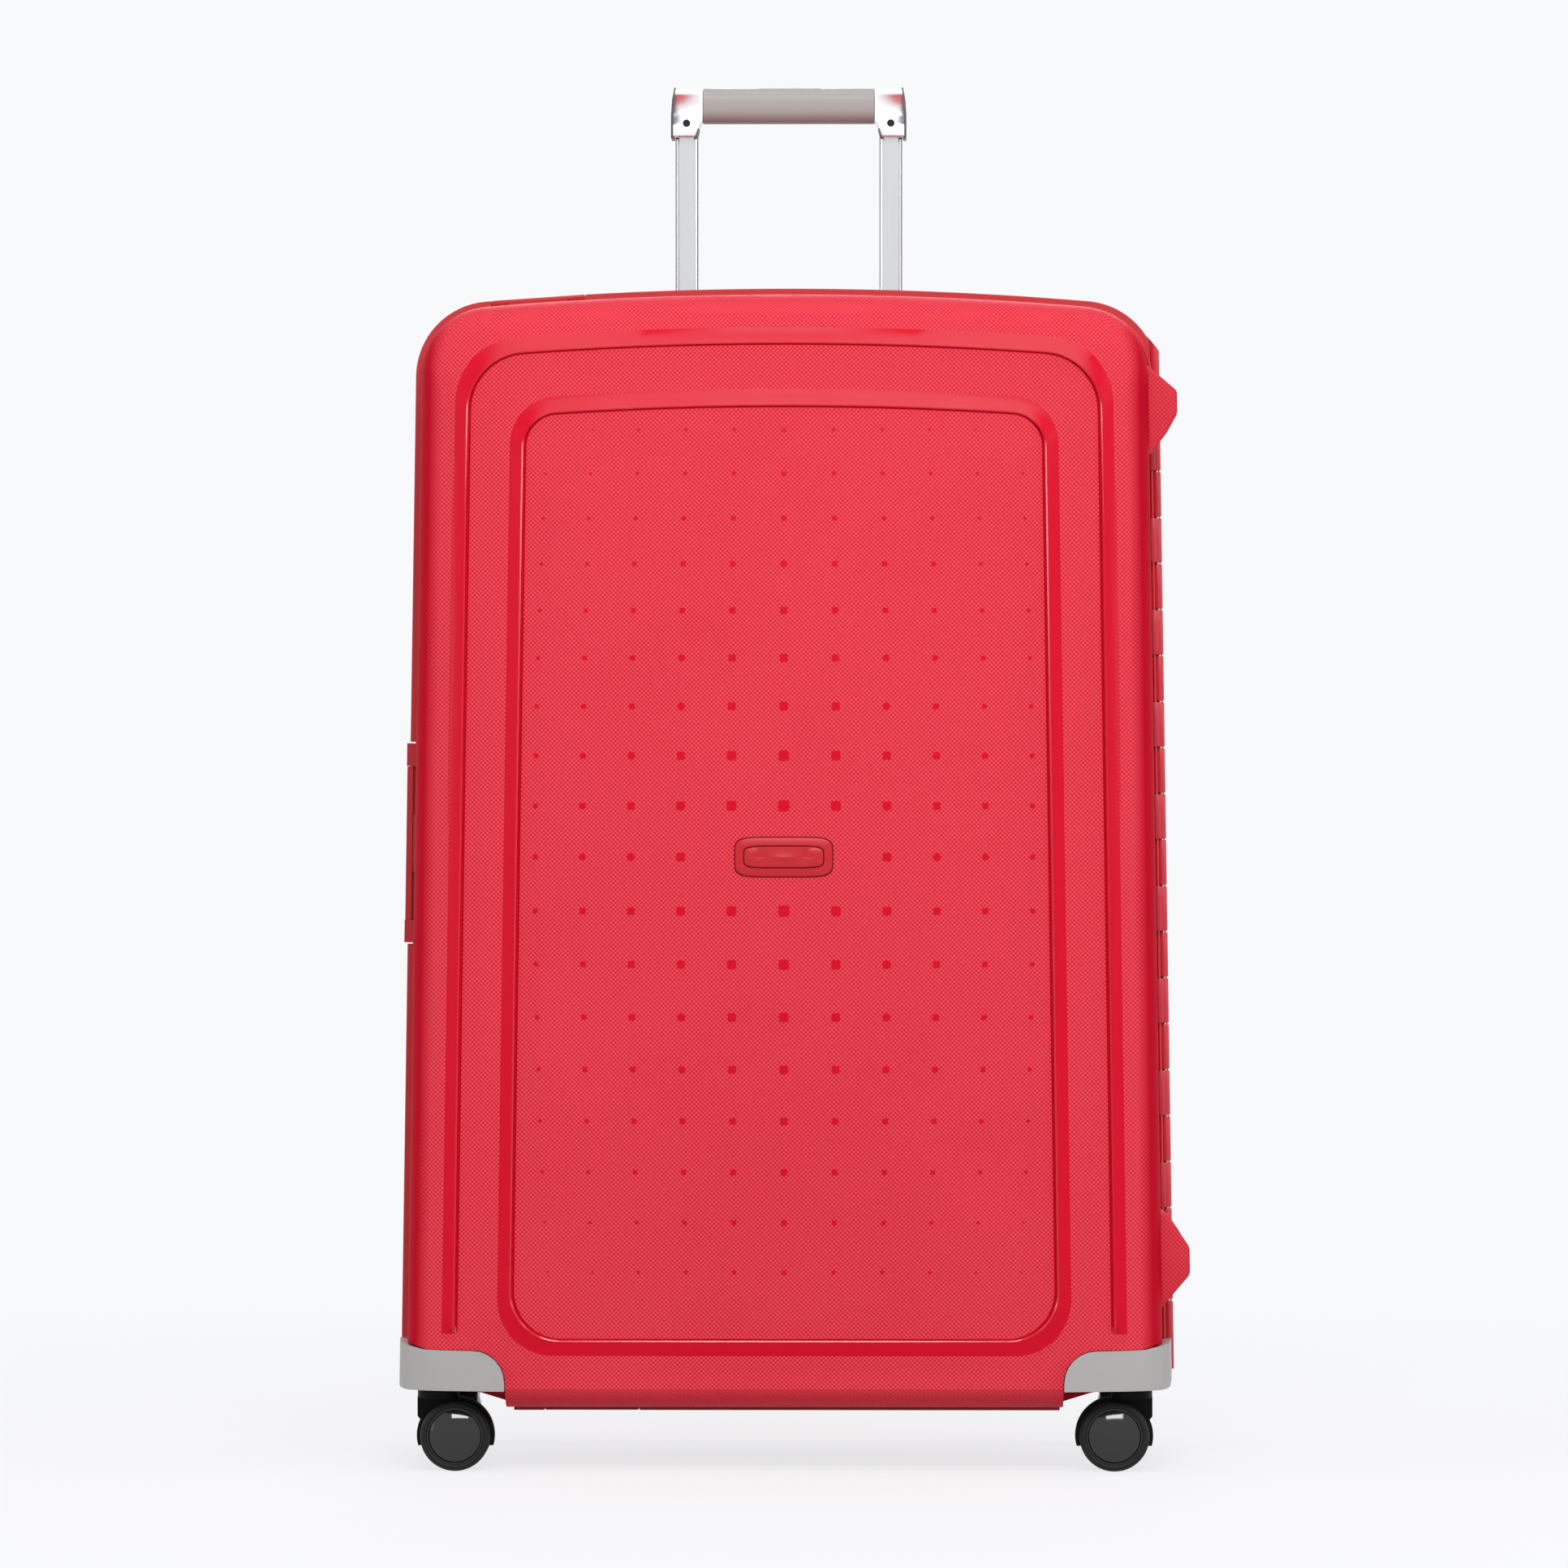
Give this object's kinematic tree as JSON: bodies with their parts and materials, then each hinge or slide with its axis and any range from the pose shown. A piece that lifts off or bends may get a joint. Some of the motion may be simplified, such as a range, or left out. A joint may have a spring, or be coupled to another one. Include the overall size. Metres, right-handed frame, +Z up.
{
  "type": "upright hard-shell suitcase",
  "caption": "Upright hard-shell suitcase with a hinged lid, side latches and dial lock, telescopic trolley handle, folding carry handles and swivelling twin-wheel casters.",
  "frame": {"origin": "on the floor, under the middle of the closed case", "axes": "+Z up, -Y out of the lid's face, +X towards the hinge side"},
  "size_m": [0.5426, 0.3323, 0.958],
  "materials": {
    "shell_red": "semi-gloss moulded polypropylene with a fine grain",
    "bumper_grey": "satin",
    "black_plastic": "satin",
    "gloss_black": "glossy",
    "tread": "matt",
    "tube_silver": "satin anodised",
    "bracket_silver": "silver plated",
    "grip_grey": "soft matt",
    "steel": "bright",
    "lining": "woven polyester",
    "webbing": "woven"
  },
  "bodies": {
    "rear_half": {"rear_shell": "shell_red", "hinge_pin": "steel", "bumper_rear_left": "bumper_grey", "bumper_rear_right": "bumper_grey", "rear_lining": "lining", "packing_straps": "webbing", "strap_buckle": "black_plastic", "latch_pins": "steel", "lock_housing": "shell_red", "top_handle_mounts": "black_plastic", "side_handle_mounts": "black_plastic", "trolley_well": "black_plastic", "trolley_outer_tubes": "tube_silver", "trolley_foot": "black_plastic", "stems_rear": "steel"},
    "lid": {"front_shell": "shell_red", "badge": "shell_red", "bumper_front_left": "bumper_grey", "bumper_front_right": "bumper_grey", "divider_panel": "lining", "divider_zip": "webbing", "latch_keepers": "steel", "stems_front": "steel"},
    "zip_pull": {"zip_slider": "steel"},
    "top_latch": {"top_latch": "shell_red"},
    "side_latch": {"side_latch": "shell_red"},
    "bottom_latch": {"bottom_latch": "shell_red"},
    "dial_1": {"lock_dial_1": "black_plastic"},
    "dial_2": {"lock_dial_2": "black_plastic"},
    "dial_3": {"lock_dial_3": "black_plastic"},
    "lock_slider": {"lock_slider": "black_plastic"},
    "lock_cylinder": {"lock_cylinder": "steel"},
    "top_handle": {"top_handle": "black_plastic"},
    "side_handle": {"side_handle": "black_plastic"},
    "middle_stage": {"trolley_middle_tubes": "tube_silver", "trolley_collars": "black_plastic"},
    "upper_stage": {"trolley_upper_tubes": "tube_silver", "trolley_guides": "black_plastic", "trolley_grip": "grip_grey", "grip_bracket_left": "bracket_silver", "grip_bracket_right": "bracket_silver", "grip_screws": "steel"},
    "release": {"release_button": "black_plastic", "release_rods": "steel"},
    "caster_front_left": {"fork_front_left": "black_plastic"},
    "wheels_front_left": {"axle_front_left": "steel", "hubs_front_left": "gloss_black", "tyres_front_left": "tread"},
    "caster_front_right": {"fork_front_right": "black_plastic"},
    "wheels_front_right": {"axle_front_right": "steel", "hubs_front_right": "gloss_black", "tyres_front_right": "tread"},
    "caster_rear_left": {"fork_rear_left": "black_plastic"},
    "wheels_rear_left": {"axle_rear_left": "steel", "hubs_rear_left": "gloss_black", "tyres_rear_left": "tread"},
    "caster_rear_right": {"fork_rear_right": "black_plastic"},
    "wheels_rear_right": {"axle_rear_right": "steel", "hubs_rear_right": "gloss_black", "tyres_rear_right": "tread"}
  },
  "joints": [
    {"name": "lid_hinge", "type": "hinge", "parent": "rear_half", "child": "lid", "pos_m": [0.2648, 0, 0.07997], "axis": [-0.0148, 0, 0.9999], "range_deg": [0, 150]},
    {"name": "zip_run", "type": "slide", "parent": "lid", "child": "zip_pull", "axis": [0.0148, 0, 0.9999], "range_m": [-0.45, 0.09]},
    {"name": "upper_slide", "type": "slide", "parent": "middle_stage", "child": "upper_stage", "axis": [0, 0, 1], "range_m": [-0.15, 0]},
    {"name": "middle_slide", "type": "slide", "parent": "rear_half", "child": "middle_stage", "axis": [0, 0, 1], "range_m": [0, 0.15]},
    {"name": "release_press", "type": "slide", "parent": "upper_stage", "child": "release", "axis": [0, 0, -1], "range_m": [0, 0.004], "stiffness_N_per_m": 800, "springref_m": -0.003},
    {"name": "top_latch_turn", "type": "hinge", "parent": "rear_half", "child": "top_latch", "pos_m": [-0.17218, 0.033, 0.80211], "axis": [-0.9976, 0, -0.0694], "range_deg": [0, 60]},
    {"name": "side_latch_turn", "type": "hinge", "parent": "rear_half", "child": "side_latch", "pos_m": [-0.25997, 0.033, 0.42604], "axis": [-0.0148, 0, -0.9999], "range_deg": [0, 60]},
    {"name": "bottom_latch_turn", "type": "hinge", "parent": "rear_half", "child": "bottom_latch", "pos_m": [-0.135, 0.033, 0.0349], "axis": [1, 0, 0], "range_deg": [0, 60]},
    {"name": "dial_1_turn", "type": "hinge", "parent": "rear_half", "child": "dial_1", "pos_m": [-0.25912, 0.05, 0.40202], "axis": [0.0148, 0, 0.9999], "continuous": true},
    {"name": "dial_2_turn", "type": "hinge", "parent": "rear_half", "child": "dial_2", "pos_m": [-0.25899, 0.05, 0.41102], "axis": [0.0148, 0, 0.9999], "continuous": true},
    {"name": "dial_3_turn", "type": "hinge", "parent": "rear_half", "child": "dial_3", "pos_m": [-0.25886, 0.05, 0.42002], "axis": [0.0148, 0, 0.9999], "continuous": true},
    {"name": "lock_key_turn", "type": "hinge", "parent": "rear_half", "child": "lock_cylinder", "pos_m": [-0.26004, 0.05, 0.44804], "axis": [-0.9999, 0, 0.0148], "range_deg": [0, 90]},
    {"name": "lock_slider_slide", "type": "slide", "parent": "rear_half", "child": "lock_slider", "axis": [0.0148, 0, 0.9999], "range_m": [0, 0.006]},
    {"name": "top_handle_turn", "type": "hinge", "parent": "rear_half", "child": "top_handle", "pos_m": [0, 0.058, 0.807], "axis": [1, 0, 0], "range_deg": [0, 100]},
    {"name": "side_handle_turn", "type": "hinge", "parent": "rear_half", "child": "side_handle", "pos_m": [-0.25887, 0.076, 0.42602], "axis": [0.0148, 0, 0.9999], "range_deg": [0, 100]},
    {"name": "swivel_front_left", "type": "hinge", "parent": "lid", "child": "caster_front_left", "pos_m": [-0.236, -0.104, 0.055], "axis": [0, 0, 1], "continuous": true},
    {"name": "roll_front_left", "type": "hinge", "parent": "caster_front_left", "child": "wheels_front_left", "pos_m": [-0.224, -0.104, 0.02375], "axis": [0, 1, 0], "continuous": true},
    {"name": "swivel_front_right", "type": "hinge", "parent": "lid", "child": "caster_front_right", "pos_m": [0.236, -0.104, 0.055], "axis": [0, 0, 1], "continuous": true},
    {"name": "roll_front_right", "type": "hinge", "parent": "caster_front_right", "child": "wheels_front_right", "pos_m": [0.224, -0.104, 0.02375], "axis": [0, 1, 0], "continuous": true},
    {"name": "swivel_rear_left", "type": "hinge", "parent": "rear_half", "child": "caster_rear_left", "pos_m": [-0.236, 0.104, 0.055], "axis": [0, 0, 1], "continuous": true},
    {"name": "roll_rear_left", "type": "hinge", "parent": "caster_rear_left", "child": "wheels_rear_left", "pos_m": [-0.236, 0.116, 0.02375], "axis": [1, 0, 0], "continuous": true},
    {"name": "swivel_rear_right", "type": "hinge", "parent": "rear_half", "child": "caster_rear_right", "pos_m": [0.236, 0.104, 0.055], "axis": [0, 0, 1], "continuous": true},
    {"name": "roll_rear_right", "type": "hinge", "parent": "caster_rear_right", "child": "wheels_rear_right", "pos_m": [0.236, 0.116, 0.02375], "axis": [1, 0, 0], "continuous": true}
  ]
}
